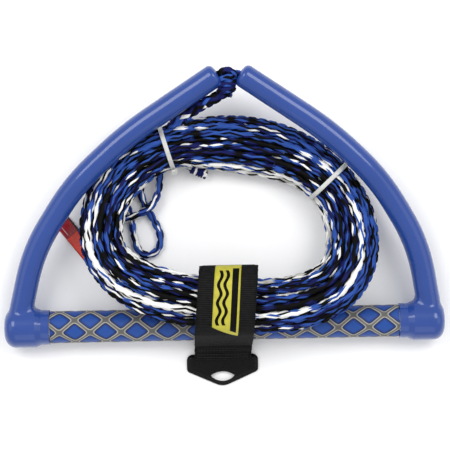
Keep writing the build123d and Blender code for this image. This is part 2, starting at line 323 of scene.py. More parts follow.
BLUE_YARN = yarn("yarn_blue", (0.030, 0.084, 0.35))
# The navy yarn is partly the rope's own navy and partly painted shade: a darker copy of the blue
# yarn standing in for blue strands in shade.
NAVY_AND_SHADE_YARN = yarn("yarn_navy_and_painted_shade", (0.008, 0.011, 0.085))
BLACK_YARN = yarn("yarn_black", (0.002, 0.002, 0.002), 0.4)
WHITE_YARN = yarn("yarn_white", (0.86, 0.86, 0.84), 0.10)
GREY_YARN = yarn("yarn_grey", (0.50, 0.49, 0.46), 0.12)
ROPE_MATERIALS = [BLUE_YARN, NAVY_AND_SHADE_YARN, BLACK_YARN, WHITE_YARN, GREY_YARN]
BLUE, NAVY_AND_SHADE, BLACK, WHITE, GREY = range(5)

# ---- the tow rope ----------------------------------------
ROPE_R = 3.175 * MM
ROPE_PITCH = 72 * MM         # a strand goes once round the rope in this length
ROPE_STRANDS = 8             # each way round
TURNS = 30
STATIONS = 36               # route points in a turn
COIL_CENTRE = np.array([3.7, 76.4]) * MM
COIL_A = 109.0 * MM
COIL_TOP = 82.0 * MM
COIL_LOW = 58.0 * MM
COIL_TURN = math.radians(-6.6)
COIL_POWER = 2.17
COIL_LOW_POWER = 2.45
COIL_HALF_WIDTH = 23.7 * MM
COIL_FILL = 0.77
FLOOR_CLEAR = 1.5 * MM
RAMP_Y = 112.0 * MM
RAMP_END = 22.0 * MM
COIL_LIFT = 30.0 * MM
LEFT_TIE, RIGHT_TIE, STRAP_AT = 130.0, 34.0, 268.0
# where the bundle is narrower or wider: angle, half width, and how far round it reaches
PINCHES = [(LEFT_TIE, 18.6 * MM, 26), (184.0, 19.4 * MM, 46), (84.0, 27.5 * MM, 44),
           (RIGHT_TIE, 22.0 * MM, 26), (STRAP_AT, 21.5 * MM, 26)]
FIRST_ANGLE = 124.0          # the coil's first and last route point
# how the turns lie in the bundle
COLUMNS = 7                  # they start out in this many columns across it
EDGE_U, EDGE_V = 0.95, 0.85  # which reach these shares of its half width and half height
WANDER, JITTER = 3.4 * MM, 0.5 * MM
TIED_REACH = 34.0            # a tie keeps the ropes in place this many degrees either way
PACKED = 0.985               # ropes push apart when nearer than this share of a diameter
SWEEPS, FIRM_SWEEPS = 420, 250
FIRM_HOLD, LIGHT_HOLD = 0.05, 0.025
STIFFNESS, PUSH = 0.30, 0.42

LEAD_POINTS = np.array([
    (3.5, 198.6, 33.5), (-4.0, 193.8, 32.0), (-14.5, 189.2, 28.0),
    (-25.0, 183.2, 22.5), (-35.0, 177.0, 17.0), (-43.5, 170.5, 13.2)]) * MM
TAIL_POINTS = np.array([
    (-55.0, 141.0, -3.5), (-54.0, 131.0, -7.5), (-54.5, 120.5, -8.6),
    (-57.5, 109.5, -8.0), (-64.5, 100.5, -7.2), (-75.0, 95.6, -7.2),
    (-86.0, 92.2, -9.0), (-96.5, 91.0, -11.6), (-104.0, 96.5, -13.6),
    (-104.5, 106.0, -13.8), (-96.5, 111.5, -13.8), (-87.0, 108.5, -13.8),
    (-81.0, 99.5, -13.8), (-79.0, 88.5, -13.8), (-77.6, 77.5, -13.8),
    (-75.5, 66.5, -13.8), (-68.0, 59.6, -13.8), (-59.0, 62.6, -13.8),
    (-54.0, 70.5, -13.8), (-55.0, 80.5, -13.8), (-60.0, 91.0, -13.8),
    (-66.0, 101.5, -13.8), (-71.0, 112.5, -14.0), (-71.5, 124.5, -13.6),
    (-65.0, 136.0, -12.4), (-53.0, 142.6, -11.0), (-38.6, 142.4, -10.2),
    (-26.0, 137.0, -10.0)]) * MM


def pinch(angle, at, reach):
    """1 where the bundle's width is set, fading to 0 within reach degrees of it."""
    gap = (angle - at + 180) % 360 - 180
    return max(0.0, 1 - (gap / reach) ** 2) ** 2


def coil_half_size(angle):
    half_width = COIL_HALF_WIDTH
    for at, narrow, reach in PINCHES:
        half_width += pinch(angle, at, reach) * (narrow - COIL_HALF_WIDTH)
    area = TURNS * math.pi * ROPE_R ** 2 / COIL_FILL
    return half_width, area / (math.pi * half_width)


def coil_point(angle):
    """Middle of the bundle in a direction from the coil's centre, and its outward normal."""
    along, across = math.cos(math.radians(angle)), math.sin(math.radians(angle))
    reach = COIL_TOP if across > 0 else COIL_LOW
    power = COIL_POWER if across > 0 else COIL_LOW_POWER
    size = abs(along / COIL_A) ** power + abs(across / reach) ** power
    radius = size ** (-1 / power)
    u, v = radius * along, radius * across
    nu = math.copysign(abs(u / COIL_A) ** (power - 1) / COIL_A, u)
    nv = math.copysign(abs(v / reach) ** (power - 1) / reach, v)
    length = math.hypot(nu, nv)
    c, s = math.cos(COIL_TURN), math.sin(COIL_TURN)
    x = COIL_CENTRE[0] + u * c - v * s
    y = COIL_CENTRE[1] + u * s + v * c
    ramp_share = min(max((RAMP_Y - y) / (RAMP_Y - RAMP_END), 0.0), 1.0)
    z = FLOOR_Z + coil_half_size(angle)[1] + FLOOR_CLEAR
    z += COIL_LIFT * ramp_share ** 2 * (3 - 2 * ramp_share)
    outward = np.array([(nu * c - nv * s) / length, (nu * s + nv * c) / length, 0.0])
    return np.array([x, y, z]), outward


def lay_turns():
    """Where each route point of the coil lies in the bundle's section, as (u, v).

    Each turn has its own place in the bundle and wanders about it, less where it is tied.
    Ropes then push each other apart to a diameter, and the rope's stiffness smooths them.
    """
    rng = np.random.default_rng(11)
    count = TURNS * STATIONS + 1
    angles = FIRST_ANGLE + np.arange(count) * 360 / STATIONS
    sizes = np.array([coil_half_size(a % 360) for a in angles]) - ROPE_R
    turn = np.arange(count) / STATIONS
    column = turn / TURNS * COLUMNS
    u = EDGE_U - 2 * EDGE_U * turn / TURNS
    v = EDGE_V * np.cos(math.pi * column)
    v *= np.sqrt(np.clip(1 - u ** 2, 0.05, 1))
    ties = (LEFT_TIE, RIGHT_TIE, STRAP_AT)
    tied = np.array([max(pinch(a % 360, at, TIED_REACH) for at in ties) for a in angles])
    wander = np.zeros((count, 2))
    for wave in range(1, 9):
        period = STATIONS * (2.6 / wave ** 0.8)
        phase = rng.uniform(0, 2 * math.pi, 2)
        swing = rng.normal(0, 1.0 / wave ** 0.7, 2)
        wander += swing * np.sin(2 * math.pi * np.arange(count)[:, None] / period + phase)
    wander *= WANDER
    target = np.stack([u, v], axis=1) * sizes + wander * (1 - tied)[:, None]
    place = target + rng.normal(0, JITTER, (count, 2))
    want = 2 * ROPE_R * PACKED
    station = [np.arange(k, count, STATIONS) for k in range(STATIONS)]
    for sweep in range(SWEEPS):
        place[1:-1] += STIFFNESS * ((place[:-2] + place[2:]) / 2 - place[1:-1])
        place += (FIRM_HOLD if sweep < FIRM_SWEEPS else LIGHT_HOLD) * (target - place)
        for _ in range(2):
            for members in station:
                here = place[members]
                gap = here[:, None] - here[None]
                distance = np.linalg.norm(gap, axis=2) + np.eye(len(members))
                push = np.clip(want - distance, 0, None) * (1 - np.eye(len(members)))
                place[members] += PUSH * (gap / distance[..., None] * push[..., None]).sum(1)
        out = np.linalg.norm(place / sizes, axis=1)
        place /= np.clip(out, 1, None)[:, None]
    return angles, place


def coil_route():
    """The coil's route points, and their places in the bundle's section."""
    angles, place = lay_turns()
    points = []
    for angle, (u, v) in zip(angles, place):
        middle, outward = coil_point(angle % 360)
        points.append(middle + outward * u + np.array([0, 0, v]))
    return np.array(points), place


coil_points, coil_places = coil_route()
rope_route = np.concatenate([LEAD_POINTS, coil_points, TAIL_POINTS])
rope_line = nurbs_points("tow_rope_line", rope_route, 5)
rope_length = arc_length(rope_line)[-1]
STRETCH = 0.42               # the rope's overall tone changes this often, in metres
TONE_RUN = 0.10              # and a strand's colour this often
TONE_STAGGER = 0.037         # each strand's changes lie this far from its neighbour's


def rope_tones(seed=3):
    """Colours of the sixteen strands, each changing now and then along the rope.

    The rope shows more white on some stretches and more black on others.
    """
    rng = random.Random(seed)
    recipes = {
        "blue": [BLUE] * 10 + [NAVY_AND_SHADE] * 4 + [BLACK] * 6 + [WHITE] * 2,
        "dark": [BLUE] * 5 + [NAVY_AND_SHADE] * 4 + [BLACK] * 12 + [WHITE],
        "white": [BLUE] * 4 + [BLACK] * 4 + [WHITE] * 13,
        "pale": [WHITE] * 6 + [BLACK] * 5 + [BLUE] * 5 + [GREY] * 6,
    }
    # chances of blue, dark, white and pale stretches up to a share of the rope's length
    plans = [(0.03, (0, 1, 0, 0)), (0.30, (5, 5, 0, 0)), (0.44, (5, 4, 1, 0)),
             (0.64, (4, 4, 3, 0)), (0.90, (4, 4, 3, 0)),
             (0.975, (2, 2, 2, 2)), (1.01, (0, 0, 0, 1))]
    stretches = {}
    table = {}

    def tones(strand, s):
        stretch = int(s / STRETCH)
        if stretch not in stretches:
            chances = next(c for share, c in plans if s / rope_length < share)
            stretches[stretch] = recipes[rng.choices(list(recipes), chances)[0]]
        key = (strand, int((s + strand * TONE_STAGGER) / TONE_RUN))
        if key not in table:
            table[key] = rng.choice(stretches[stretch])
        return table[key]

    return tones


tow_rope = braid("tow_rope", rope_line, ROPE_R, ROPE_PITCH, ROPE_STRANDS, rope_tones(),
                 ROPE_MATERIALS, low=0.74, high=1.08)
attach(tow_rope, "handle")
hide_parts("rope_coil", "boat_end_tail")


def pick_tones(weights, seed, segment=0.06, stagger=0.023):
    """Strand colours from (tone, weight) pairs, changing now and then along the cord."""
    rng = random.Random(seed)
    table = {}

    def tones(strand, s):
        key = (strand, int((s + strand * stagger) / segment))
        if key not in table:
            table[key] = rng.choices([t for t, _ in weights], [w for _, w in weights])[0]
        return table[key]

    return tones


def stretch_of(path, start, end):
    """The points of a path between two lengths along it."""
    s = arc_length(path)
    at = np.concatenate([[start], s[(s > start) & (s < end)], [end]])
    return np.stack([np.interp(at, s, path[:, i]) for i in range(3)], axis=1)


def join(name, pieces):
    """One object from several, with all their materials."""
    for obj in bpy.context.view_layer.objects:
        obj.select_set(obj in pieces)
    bpy.context.view_layer.objects.active = pieces[0]
    bpy.ops.object.join()
    pieces[0].name = name
    pieces[0].data.name = name
    return pieces[0]


# the eye splice: the rope tucked back inside itself, with two white tracers
SPLICE_LENGTH = 66 * MM
SPLICE_R = 4.8 * MM
SPLICE_PITCH = 46 * MM
SPLICE_STRANDS = 6
SPLICE_TONES = (NAVY_AND_SHADE, BLACK, BLUE, NAVY_AND_SHADE, BLACK)
SPLICE_RUN = 0.02            # its strands change colour this often, in metres
TRACERS = {1: (18 * MM, 34 * MM), 6: (30 * MM, 46 * MM)}     # white stretches, by strand


def splice_tones(strand, s):
    start, end = TRACERS.get(strand, (0, 0))
    if start < s < end:
        return WHITE
    return SPLICE_TONES[(strand + int(s / SPLICE_RUN)) % len(SPLICE_TONES)]


tow_splice = braid("tow_splice_braid", stretch_of(rope_line, 0, SPLICE_LENGTH), SPLICE_R,
                   SPLICE_PITCH, SPLICE_STRANDS, splice_tones, ROPE_MATERIALS, sub=3, low=0.74,
                   end_taper=14 * MM)
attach(tow_splice, "handle")
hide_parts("tow_splice")

# the hitch: the eye's bight over the yoke rope, and the turns that draw it together
HITCH_MIDDLE = np.array([6.0, 0.0, 35.4])
HITCH_TURN = np.array([6.4, 0.0, 5.6])
HITCH_WRAPS = np.array([
    HITCH_MIDDLE + HITCH_TURN * (math.cos(math.radians(t)), 0, math.sin(math.radians(t)))
    + (0.7 * math.sin(math.radians(t / 3.0)), 211.6 - 5.2 * t / 360, 0)
    for t in range(0, 1036, 45)]) * MM
HITCH_BIGHT = np.array([
    (1.2, 205.5, 31.0), (-0.4, 210.4, 35.5), (0.8, 215.6, 39.6), (6.0, 217.4, 41.4),
    (11.2, 215.6, 39.8), (13.0, 210.4, 36.0), (11.4, 205.0, 31.5)]) * MM
HITCH_CORE = np.array([(6.0, 197.5, 34.5), (6.0, 202.5, 35.0), (6.1, 207.5, 35.2),
                       (6.2, 212.0, 35.4)]) * MM
HITCH_STRANDS = 5
HITCH_PITCH = 30 * MM
DARK_MIX = [(NAVY_AND_SHADE, 5), (BLACK, 5), (BLUE, 5)]
hitch = []
for part, route, radius, seed in (("wraps", HITCH_WRAPS, 2.85 * MM, 5),
                                  ("bight", HITCH_BIGHT, 2.7 * MM, 9),
                                  ("core", HITCH_CORE, 4.6 * MM, 7)):
    hitch.append(braid("hitch_" + part, nurbs_points(f"hitch_{part}_line", route), radius,
                       HITCH_PITCH, HITCH_STRANDS, pick_tones(DARK_MIX, seed, 0.02),
                       ROPE_MATERIALS, sub=3))
tow_eye_hitch = join("tow_eye_hitch_rope", hitch)
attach(tow_eye_hitch, "handle")
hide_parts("tow_eye_hitch")

# the yoke rope between the two open arms
BRIDGE_POINTS = np.array([(-9.5, 209.4, 34.6), (-5.6, 211.9, 35.0), (-1.6, 213.9, 35.3),
                          (4.0, 214.5, 35.4), (11.5, 214.5, 35.4), (17.0, 213.9, 35.3),
                          (21.0, 211.9, 35.0), (24.9, 209.4, 34.6)]) * MM
YOKE_ROPE_R = 2.9 * MM
YOKE_PITCH = 50 * MM
YOKE_STRANDS = 6
yoke_bridge = braid("yoke_bridge_rope", nurbs_points("yoke_bridge_line", BRIDGE_POINTS),
                    YOKE_ROPE_R, YOKE_PITCH, YOKE_STRANDS,
                    pick_tones([(NAVY_AND_SHADE, 4), (BLACK, 4), (BLUE, 3)], 4), ROPE_MATERIALS)
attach(yoke_bridge, "handle")
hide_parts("yoke_bridge")


def ring_mesh(name, rings, materials, tone_at=None, closed=False):
    """A skin over a row of rings of points; closed joins the last ring to the first.

    tone_at(ring, side) gives the material index of a face.
    """
    count = len(rings[0])
    verts = [p for ring in rings for p in ring]
    faces = []
    tones = []
    spans = len(rings) if closed else len(rings) - 1
    for i in range(spans):
        here, there = i * count, (i + 1) % len(rings) * count
        for k in range(count):
            nxt = (k + 1) % count
            faces.append((here + k, here + nxt, there + nxt, there + k))
            tones.append(tone_at(i, k) if tone_at else 0)
    if not closed:
        faces += [tuple(range(count)), tuple(len(verts) - count + k for k in range(count))]
        tones += [tones[0], tones[-1]]
    piece = make_piece(name, verts, faces, materials, indices=tones)
    edit(piece)
    return piece


def round_tube(name, path, radius, materials, tone_at=None, sides=10):
    """A plain round tube along a path."""
    at, up, side = frames_along(path, arc_length(path))
    turn = np.arange(sides) / sides * 2 * math.pi
    rings = [[p + radius * (math.cos(t) * a + math.sin(t) * b) for t in turn]
             for p, a, b in zip(at, up, side)]
    return ring_mesh(name, rings, materials, tone_at)


def helix(start, along, radius, pitch, turns, per_turn=20):
    """Points that wind round a straight line."""
    along = along / np.linalg.norm(along)
    across = np.cross(along, (0, 0, 1.0))
    across /= np.linalg.norm(across)
    lift = np.cross(across, along)
    t = np.arange(int(turns * per_turn) + 1) / per_turn
    angle = 2 * math.pi * t[:, None]
    return start + along * (pitch * t[:, None]) + radius * (np.cos(angle) * across
                                                            + np.sin(angle) * lift)


# the whipping on the rope's end, over a stub of the rope itself
STUB_R = 2.9 * MM
TWINE_R = 1.3 * MM
WHIPPING_R = 3.35 * MM       # to the middle of the twine
WHIPPING_PITCH = 2.5 * MM
WHIPPING_TURNS = 5.0
tail_end = TAIL_POINTS[-1] + np.array([0.3, -1.4, 0.6]) * MM
tail_along = TAIL_POINTS[-1] - TAIL_POINTS[-2]
tail_along /= np.linalg.norm(tail_along)
stub_path = np.array([tail_end + tail_along * d * MM for d in np.linspace(-3, 15, 19)])
stub = braid("whipped_stub", stub_path, STUB_R, 40 * MM, 6,
             pick_tones([(WHITE, 3), (GREY, 3), (BLACK, 3)], 8, 0.02), ROPE_MATERIALS,
             end_taper=1.5 * MM)
wrap_path = helix(tail_end + tail_along * 0.4 * MM, tail_along, WHIPPING_R, WHIPPING_PITCH,
                  WHIPPING_TURNS)
wraps = round_tube("whipping_wraps", wrap_path, TWINE_R, [NAVY_AND_SHADE_YARN, WHITE_YARN],
                   lambda i, k: int((k + i // 5) % 10 < 3))
whipping = join("rope_end_whipping_twine", [stub, wraps])
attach(whipping, "handle")
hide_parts("rope_end_whipping")


# ---- cable ties ------------------------------------------
def hull_outline(discs, steps=120):
    """The closed outline that hugs a set of (x, y, radius) discs, counter-clockwise."""
    turn = np.arange(steps) / steps * 2 * math.pi
    points = sorted((x + r * math.cos(t), y + r * math.sin(t)) for x, y, r in discs for t in turn)

    def half_hull(row):
        chain = []
        for p in row:
            while len(chain) > 1 and ((chain[-1][0] - chain[-2][0]) * (p[1] - chain[-2][1])
                                      <= (chain[-1][1] - chain[-2][1]) * (p[0] - chain[-2][0])):
                chain.pop()
            chain.append(p)
        return chain[:-1]

    return np.array(half_hull(points) + half_hull(points[::-1]))


def even_points(line, spacing, closed=False):
    """Points a constant distance apart along a line."""
    if closed:
        line = np.concatenate([line, line[:1]])
    s = arc_length(line)
    count = max(3, int(round(s[-1] / spacing)))
    at = np.linspace(0, s[-1], count + 1)[:-1 if closed else None]
    return np.stack([np.interp(at, s, line[:, i]) for i in range(line.shape[1])], axis=1)


def bundle_at(angle):
    """The ropes' places (u, v) in the bundle's section in a direction from the coil's centre."""
    position = (angle - FIRST_ANGLE) % 360 / 360 * STATIONS
    first = int(position)
    share = position - first
    here = coil_places[first:first + TURNS * STATIONS:STATIONS]
    there = coil_places[first + 1:first + 1 + TURNS * STATIONS:STATIONS]
    count = min(len(here), len(there))
    return here[:count] * (1 - share) + there[:count] * share


TIE_WIDTH = 3.8 * MM
TIE_THICK = 1.2 * MM
TIE_NYLON = mottled("tie_nylon", (0.62, 0.63, 0.60), 0.38, 0.06, 90.0, 700.0, 0.00003,
                    Subsurface_Weight=0.25, Subsurface_Scale=0.002, Transmission_Weight=0.12)


# the head's blocks in mm: name, size, edge radius, and how far outward and up they lie
TIE_BLOCKS = [("head", (4.4, 6.0, 5.8), 0.9, (0, 0)), ("pawl", (0.9, 3.4, 3.0), 0.3, (2.4, 0.4)),
              ("stub", (1.3, 7.0, 3.4), 0.3, (-0.6, 4.2))]
TIE_BLOCKS += [(f"tooth{step}", (0.5, 0.7, 2.6), 0.15, (0.2, 3.6 + step * 0.9))
               for step in range(5)]


def bevelled_block(name, size, bevel, materials):
    """A block with rounded edges, centred on the origin."""
    mesh = bpy.data.meshes.new(name)
    bm = bmesh.new()
    bmesh.ops.create_cube(bm, size=1.0)
    bmesh.ops.scale(bm, vec=size, verts=bm.verts)
    bmesh.ops.bevel(bm, geom=bm.edges[:], offset=bevel, segments=3, profile=0.5, affect="EDGES")
    bm.to_mesh(mesh)
    bm.free()
    for material in materials:
        mesh.materials.append(material)
    mesh.polygons.foreach_set("use_smooth", np.full(len(mesh.polygons), True))
    block = bpy.data.objects.new(name, mesh)
    bpy.context.collection.objects.link(block)
    return block


def cable_tie(name, angle, head_side):
    """A cable tie drawn round the ropes; head_side is 1 for a head outside, -1 inside."""
    middle, outward = coil_point(angle)
    up = np.array([0, 0, 1.0])
    along = np.cross(outward, up)
    discs = [(u, v, ROPE_R * 1.02 + TIE_THICK / 2) for u, v in bundle_at(angle)]
    outline = even_points(hull_outline(discs, 36), 1.2 * MM, closed=True)
    for _ in range(3):
        outline = (np.roll(outline, 1, 0) + 2 * outline + np.roll(outline, -1, 0)) / 4
    centre = outline.mean(0)

    def place(u, v, w):
        return middle + outward * u + up * v + along * w

    half, thick, soft = TIE_WIDTH / 2, TIE_THICK / 2, 0.35 * MM
    section = [(-half, -thick), (half, -thick), (half, thick - soft), (half - soft, thick),
               (-half + soft, thick), (-half, thick - soft)]
    rings = [[place(*(p + n * t), w) for w, t in section]
             for p, n in zip(outline, normals_of(outline, closed=True))]
    band = ring_mesh(name + "_band", rings, [TIE_NYLON], closed=True)
    at = outline[np.argmax(outline[:, 0] * head_side)]
    head_place = place(at[0] + head_side * 2.3 * MM, at[1], 0)
    axes = Matrix([outward * head_side, up, along]).transposed().to_4x4()
    head = Matrix.Translation(Vector(head_place)) @ axes
    pieces = [band]
    for part, size, bevel, shift in TIE_BLOCKS:
        block = bevelled_block(f"{name}_{part}", Vector([d * MM for d in size]), bevel * MM,
                               [TIE_NYLON])
        out, lift = shift
        block.data.transform(head @ Matrix.Translation(Vector((out * MM, lift * MM, 0))))
        pieces.append(block)
    tie = join(name + "_nylon", pieces)
    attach(tie, "handle")
    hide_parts(name)
    return tie


left_tie = cable_tie("left_cable_tie", LEFT_TIE, -1)
right_tie = cable_tie("right_cable_tie", RIGHT_TIE, 1)

# ---- strap -----------------------------------------------
STRAP_WIDTH = 50 * MM
STRAP_THICK = 1.8 * MM
PATCH_THICK = 0.8 * MM
RIB_PITCH = 1.55 * MM
GRIP_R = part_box("grip_sleeve")[1].z
WRAP_R = 18.9 * MM
strap_middle = coil_point(STRAP_AT)[0]
strap_half = coil_half_size(STRAP_AT)[0]
INNER_BULGE, OUTER_BULGE = 7.0 * MM, 2.0 * MM
GRIP_GAP = 0.85 * MM
STRAP_DISCS = [(strap_middle[1] + strap_half - WRAP_R + INNER_BULGE, strap_middle[2], WRAP_R),
               (strap_middle[1] - strap_half + WRAP_R - OUTER_BULGE, strap_middle[2], WRAP_R),
               (0.0, 0.0, GRIP_R + GRIP_GAP)]
STRAP_SLANT = 0.084          # the strap leans this much along X for each unit of Y
STRAP_X = 1.5 * MM
SLANT_Y = 14.0 * MM          # where the leaning strap crosses its mean X


def strap_x(y):
    return STRAP_X + STRAP_SLANT * (y - SLANT_Y)


def wrap_line(offset, start, end):
    """The strap's line in (y, z) round its bundle, from near start to near end."""
    outline = even_points(hull_outline([(y, z, r + offset) for y, z, r in STRAP_DISCS]),
                          0.4 * MM, closed=True)
    first = np.argmin(np.linalg.norm(outline - start, axis=1))
    outline = np.roll(outline, -first, axis=0)
    last = np.argmin(np.linalg.norm(outline - end, axis=1))
    return outline[:last + 1]


def soften(line, sweeps):
    """Rounds a line's kinks, keeping its ends."""
    line = line.copy()
    for _ in range(sweeps):
        line[1:-1] = (line[:-2] + 2 * line[1:-1] + line[2:]) / 4
    return line


def webbing(name, line, width, thick, materials, seed, rib=0.30 * MM, closed=False, columns=12):
    """Woven strap along a (y, z) line, with cross ribs and slightly uneven selvedges."""
    rng = np.random.default_rng(seed)
    line = even_points(line, RIB_PITCH / 4, closed)
    normal = normals_of(line, closed)
    edge_noise = [np.convolve(rng.normal(0, 1, len(line)), np.ones(9) / 9, "same") * 0.35 * MM
                  for _ in range(2)]
    across = np.linspace(-1, 1, columns)
    rings = []
    for i, (p, n) in enumerate(zip(line, normal)):
        ribbed = rib * (1 - math.cos(2 * math.pi * i / 4)) / 2
        ring = []
        for face in (1, -1):
            for a in across[::face]:
                edge = 1 - abs(a) ** 14 * 0.55
                lift = face * (thick / 2 * edge + ribbed - rib)
                selvedge = edge_noise[int(a >= 0)][i] * abs(a) ** 6
                x = strap_x(p[0]) + a * width / 2 + selvedge
                ring.append((x, p[0] + n[0] * lift, p[1] + n[1] * lift))
        rings.append(ring)
    # rows on the raised rib crowns take the last material; when a second one is given, it is painted
    # lighter as a highlight
    crown = len(materials) - 1
    return ring_mesh(name, rings, materials, lambda i, k: crown if i % 4 in (1, 2) else 0, closed)


WEBBING = mottled("strap_weave", (0.004, 0.004, 0.0045), 0.72, 0.35, 240.0, 2600.0, 0.00018,
                  Specular_IOR_Level=0.07)
# The rib crowns' weave is painted lighter than the valleys: a painted highlight where the raised
# ribs catch the light.
WEBBING_LIT_CROWN = mottled("strap_weave_crown_painted_highlight", (0.009, 0.009, 0.0095), 0.6, 0.3, 240.0, 2600.0,
                        0.00012, Specular_IOR_Level=0.12)
THREAD = mottled("strap_thread", (0.022, 0.022, 0.024), 0.5, 0.2, 400.0, 3000.0, 0.00003,
                 Specular_IOR_Level=0.3)
HOOK_TAPE = mottled("hook_tape", (0.016, 0.016, 0.017), 0.95, 0.45, 900.0, 1800.0, 0.0005,
                    Sheen_Weight=0.1, Specular_IOR_Level=0.2)

loop_at = STRAP_THICK / 2
loop_line = hull_outline([(y, z, r + loop_at) for y, z, r in STRAP_DISCS])
strap_loop = webbing("strap_loop_webbing", loop_line, STRAP_WIDTH, STRAP_THICK - 0.1 * MM,
                     [WEBBING, WEBBING_LIT_CROWN], seed=2, closed=True)
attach(strap_loop, "handle")
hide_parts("strap_loop")

FLAP_AT = STRAP_THICK + PATCH_THICK + STRAP_THICK / 2
FLAP_END = np.array([60.0, 22.0]) * MM
FLAP_LOW = np.array([-60.0, -4.0]) * MM
patch_line = wrap_line(STRAP_THICK + PATCH_THICK / 2, np.array([38.0, 60.0]) * MM,
                       np.array([-60.0, 3.0]) * MM)
hook_patch = webbing("strap_hook_patch_tape", patch_line, STRAP_WIDTH - 3 * MM, PATCH_THICK,
                     [HOOK_TAPE], rib=0.05 * MM, seed=4)
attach(hook_patch, "handle")
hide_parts("strap_hook_patch")

flap_line = wrap_line(FLAP_AT, FLAP_END, FLAP_LOW)
TAB_HINGE = np.array([-18.6, -6.0]) * MM
TAB_THICK = 4.0 * MM
tab_lie = FLOOR_Z + TAB_THICK + STRAP_THICK / 2
tail_line = np.array([TAB_HINGE, (-25.0 * MM, tab_lie + 0.4 * MM), (-31.9 * MM, tab_lie)])
front_line = soften(even_points(np.concatenate([flap_line, tail_line]), 0.5 * MM), 12)
strap_front = webbing("strap_front_webbing", front_line, STRAP_WIDTH, STRAP_THICK,
                      [WEBBING, WEBBING_LIT_CROWN], seed=6)


def on_front(s, x, lift):
    """A point on the front strap: s along it from its inner end, x across it, lift above it."""
    lengths = arc_length(front_line)
    y = np.interp(s, lengths, front_line[:, 0])
    z = np.interp(s, lengths, front_line[:, 1])
    normal = normals_of(front_line)
    ny = np.interp(s, lengths, normal[:, 0])
    nz = np.interp(s, lengths, normal[:, 1])
    lift = lift + STRAP_THICK / 2
    return np.array([strap_x(y) + x, y + ny * lift, z + nz * lift])


def stitch_row(name, start, end, spacing=2.6 * MM, length=1.9 * MM):
    """Lock stitches between two points (s, x) of the front strap."""
    run = math.hypot(end[0] - start[0], end[1] - start[1])
    count = int(run / spacing)
    stitches = []
    for i in range(count):
        share = (i + 0.5) / count
        reach = length / run / 2
        ends = [(start[0] + (end[0] - start[0]) * (share + d),
                 start[1] + (end[1] - start[1]) * (share + d)) for d in (-reach, 0, reach)]
        path = np.array([on_front(ends[0][0], ends[0][1], -0.15 * MM),
                         on_front(ends[1][0], ends[1][1], 0.16 * MM),
                         on_front(ends[2][0], ends[2][1], -0.15 * MM)])
        path = soften(even_points(path, 0.45 * MM), 1)
        stitches.append(round_tube(f"{name}_{i}", path, 0.28 * MM, [THREAD], sides=6))
    return stitches


front_length = arc_length(front_line)[-1]
STITCH_REACH = 22.5 * MM     # the rows reach this far each side of the strap's middle
FLAP_ROW = 3.0 * MM
TAIL_ROWS = (2.2, 4.6, 9.4, 11.8)       # from the tail's end, in mm
stitches = []
for back in TAIL_ROWS:
    s = front_length - back * MM
    stitches += stitch_row(f"tail_stitch_{back}", (s, -STITCH_REACH), (s, STITCH_REACH))
stitches += stitch_row("flap_stitch", (FLAP_ROW, -STITCH_REACH), (FLAP_ROW, STITCH_REACH))
strap_front = join("strap_front_webbing", [strap_front] + stitches)
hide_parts("strap_flap", "strap_tail")
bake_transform(strap_front)

# ---- label -----------------------------------------------
LABEL_YELLOW = mottled("label_yellow", (0.46, 0.42, 0.030), 0.55, 0.10, 220.0, 2400.0, 0.0001)
LABEL_BLACK = mottled("label_black", (0.004, 0.004, 0.004), 0.6, 0.25, 300.0, 2400.0, 0.0001,
                      Specular_IOR_Level=0.06)


def front_s(y_value):
    """Length along the front strap, from its inner end, where the outer face is at this Y."""
    lengths = arc_length(front_line)
    crest = np.argmax(front_line[:, 0])
    ys = front_line[crest:, 0]
    return float(np.interp(-y_value, -ys, lengths[crest:]))


def label_patch(name, corners, lift, thick, material, columns=10):
    """A thin patch sewn on the strap between four corners (y, x), in order round it."""
    (y0, x0), (y1, x1), (y2, x2), (y3, x3) = corners
    s0, s1, s2, s3 = [front_s(y * MM) for y in (y0, y1, y2, y3)]
    rows = max(3, int(max(abs(s3 - s0), abs(s2 - s1)) / (1.0 * MM)))
    rings = []
    for i in range(rows + 1):
        t = i / rows
        left_s, right_s = s0 + (s3 - s0) * t, s1 + (s2 - s1) * t
        left_x, right_x = (x0 + (x3 - x0) * t) * MM, (x1 + (x2 - x1) * t) * MM
        ring = []
        for level in (1, -1):
            for k in range(columns)[::level]:
                w = k / (columns - 1)
                s = left_s + (right_s - left_s) * w
                x = left_x + (right_x - left_x) * w
                height = lift + (thick if level > 0 else 0)
                point = on_front(s, 0, height)
                ring.append((x, point[1], point[2]))
        rings.append(ring)
    return ring_mesh(name, rings, [material])


LABEL_TOP, LABEL_LOW_LEFT, LABEL_LOW_RIGHT = 50.5, 1.0, -6.8
label = [
    label_patch("label_base", [(LABEL_TOP, -6.4), (LABEL_TOP, 15.6), (LABEL_LOW_RIGHT, 11.0),
                               (LABEL_LOW_LEFT, -10.6)], 0.10 * MM, 0.30 * MM, LABEL_YELLOW),
    label_patch("label_bar", [(LABEL_TOP - 2.5, 8.2), (LABEL_TOP - 2.5, 13.6), (-4.0, 9.4),
                              (-2.2, 4.4)], 0.38 * MM, 0.12 * MM, LABEL_BLACK, 5)]


